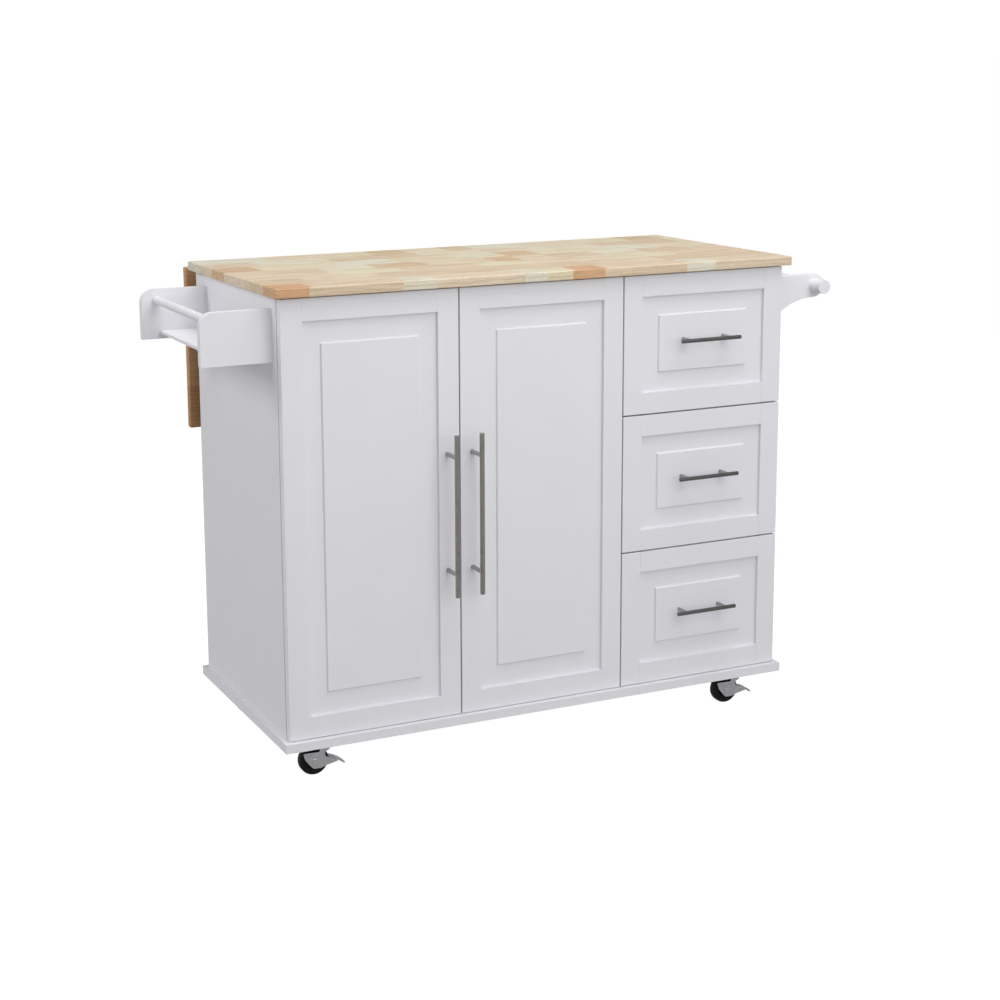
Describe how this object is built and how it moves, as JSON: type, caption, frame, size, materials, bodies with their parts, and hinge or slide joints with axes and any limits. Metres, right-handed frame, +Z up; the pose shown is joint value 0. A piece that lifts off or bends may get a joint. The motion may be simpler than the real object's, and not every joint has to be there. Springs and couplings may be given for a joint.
{
  "type": "kitchen island cart",
  "caption": "Rolling kitchen island with cupboard doors, a stack of drawers, a wood top, a rear drop leaf, a spice rack and a towel bar.",
  "frame": {"origin": "on the floor, under the centre of the object's box", "axes": "+X to the right when facing the doors, +Y from the doors towards the drop leaf, +Z up"},
  "size_m": [1.346, 0.586, 0.941],
  "materials": {
    "white_paint": "satin paint on fibreboard",
    "rubberwood": "satin varnish on finger-jointed staves",
    "drawer_board": "matte white foil",
    "brushed_nickel": "brushed",
    "zinc_steel": "bright zinc plating",
    "black_wheel": "moulded, satin"
  },
  "bodies": {
    "cabinet": {"side_panel_left": "white_paint", "side_panel_right": "white_paint", "partition_panel": "white_paint", "back_panel": "white_paint", "base_board": "white_paint", "top_rails": "white_paint", "shelf": "white_paint", "shelf_pins": "zinc_steel", "tabletop": "rubberwood", "spice_rack_front_plate": "white_paint", "spice_rack_rear_plate": "white_paint", "spice_rack_shelf": "white_paint", "spice_rack_dowel": "white_paint", "towel_brackets": "white_paint", "towel_bar": "white_paint", "drawer_rails": "zinc_steel", "door_hinge_arms": "zinc_steel", "leaf_hinge_plates": "zinc_steel", "leaf_stay_catches": "zinc_steel", "caster_plates": "zinc_steel", "caster_screws": "zinc_steel"},
    "door_left": {"door_left_frame": "white_paint", "door_left_panel": "white_paint", "door_left_handle": "brushed_nickel", "door_left_hinge_cups": "zinc_steel"},
    "door_right": {"door_right_frame": "white_paint", "door_right_panel": "white_paint", "door_right_handle": "brushed_nickel", "door_right_hinge_cups": "zinc_steel"},
    "drawer_top": {"drawer_top_frame": "white_paint", "drawer_top_panel": "white_paint", "drawer_top_box": "drawer_board", "drawer_top_runners": "zinc_steel", "drawer_top_handle": "brushed_nickel"},
    "drawer_middle": {"drawer_middle_frame": "white_paint", "drawer_middle_panel": "white_paint", "drawer_middle_box": "drawer_board", "drawer_middle_runners": "zinc_steel", "drawer_middle_handle": "brushed_nickel"},
    "drawer_bottom": {"drawer_bottom_frame": "white_paint", "drawer_bottom_panel": "white_paint", "drawer_bottom_box": "drawer_board", "drawer_bottom_runners": "zinc_steel", "drawer_bottom_handle": "brushed_nickel"},
    "leaf": {"leaf_board": "rubberwood", "leaf_hinge_flaps": "zinc_steel", "leaf_stay_mounts": "zinc_steel"},
    "stay_left": {"leaf_stay_left": "zinc_steel"},
    "stay_right": {"leaf_stay_right": "zinc_steel"},
    "fork_front_left": {"caster_fork_front_left": "zinc_steel"},
    "fork_front_right": {"caster_fork_front_right": "zinc_steel"},
    "fork_back_left": {"caster_fork_back_left": "zinc_steel"},
    "fork_back_right": {"caster_fork_back_right": "zinc_steel"},
    "wheel_front_left": {"wheel_front_left": "black_wheel"},
    "wheel_front_right": {"wheel_front_right": "black_wheel"},
    "wheel_back_left": {"wheel_back_left": "black_wheel"},
    "wheel_back_right": {"wheel_back_right": "black_wheel"},
    "brake_pedal_left": {"brake_pedal_left": "zinc_steel"},
    "brake_pedal_right": {"brake_pedal_right": "zinc_steel"}
  },
  "joints": [
    {"name": "door_left_hinge", "type": "hinge", "parent": "cabinet", "child": "door_left", "pos_m": [-0.5325, -0.24177, 0.505], "axis": [0, 0, -1], "range_deg": [0, 110]},
    {"name": "door_right_hinge", "type": "hinge", "parent": "cabinet", "child": "door_right", "pos_m": [0.165, -0.24177, 0.505], "axis": [0, 0, -1], "range_deg": [-110, 0]},
    {"name": "drawer_top_slide", "type": "slide", "parent": "cabinet", "child": "drawer_top", "axis": [0, -1, 0], "range_m": [0, 0.3]},
    {"name": "drawer_middle_slide", "type": "slide", "parent": "cabinet", "child": "drawer_middle", "axis": [0, -1, 0], "range_m": [0, 0.3]},
    {"name": "drawer_bottom_slide", "type": "slide", "parent": "cabinet", "child": "drawer_bottom", "axis": [0, -1, 0], "range_m": [0, 0.3]},
    {"name": "leaf_hinge", "type": "hinge", "parent": "cabinet", "child": "leaf", "pos_m": [0, 0.26872, 0.917], "axis": [1, 0, 0], "range_deg": [0, 90]},
    {"name": "stay_left_pivot", "type": "hinge", "parent": "leaf", "child": "stay_left", "pos_m": [-0.3, 0.26472, 0.802], "axis": [-1, 0, 0], "range_deg": [0, 135]},
    {"name": "stay_right_pivot", "type": "hinge", "parent": "leaf", "child": "stay_right", "pos_m": [0.3, 0.26472, 0.802], "axis": [-1, 0, 0], "range_deg": [0, 135]},
    {"name": "caster_front_left_swivel", "type": "hinge", "parent": "cabinet", "child": "fork_front_left", "pos_m": [-0.462, -0.19628, 0.06], "axis": [0, 0, 1], "continuous": true},
    {"name": "wheel_front_left_spin", "type": "hinge", "parent": "fork_front_left", "child": "wheel_front_left", "pos_m": [-0.474, -0.19628, 0.029], "axis": [0, 1, 0], "continuous": true},
    {"name": "caster_front_right_swivel", "type": "hinge", "parent": "cabinet", "child": "fork_front_right", "pos_m": [0.462, -0.19628, 0.06], "axis": [0, 0, 1], "continuous": true},
    {"name": "wheel_front_right_spin", "type": "hinge", "parent": "fork_front_right", "child": "wheel_front_right", "pos_m": [0.45, -0.19628, 0.029], "axis": [0, 1, 0], "continuous": true},
    {"name": "caster_back_left_swivel", "type": "hinge", "parent": "cabinet", "child": "fork_back_left", "pos_m": [-0.462, 0.17772, 0.06], "axis": [0, 0, 1], "continuous": true},
    {"name": "wheel_back_left_spin", "type": "hinge", "parent": "fork_back_left", "child": "wheel_back_left", "pos_m": [-0.474, 0.17772, 0.029], "axis": [0, 1, 0], "continuous": true},
    {"name": "caster_back_right_swivel", "type": "hinge", "parent": "cabinet", "child": "fork_back_right", "pos_m": [0.462, 0.17772, 0.06], "axis": [0, 0, 1], "continuous": true},
    {"name": "wheel_back_right_spin", "type": "hinge", "parent": "fork_back_right", "child": "wheel_back_right", "pos_m": [0.45, 0.17772, 0.029], "axis": [0, 1, 0], "continuous": true},
    {"name": "brake_left_press", "type": "hinge", "parent": "fork_front_left", "child": "brake_pedal_left", "pos_m": [-0.44, -0.19628, 0.027], "axis": [0, 1, 0], "range_deg": [0, 15]},
    {"name": "brake_right_press", "type": "hinge", "parent": "fork_front_right", "child": "brake_pedal_right", "pos_m": [0.484, -0.19628, 0.027], "axis": [0, 1, 0], "range_deg": [0, 15]}
  ],
  "couplings": [
    {"joint": "stay_left_pivot", "follows": "leaf_hinge", "ratio": 1.5},
    {"joint": "stay_right_pivot", "follows": "leaf_hinge", "ratio": 1.5}
  ]
}
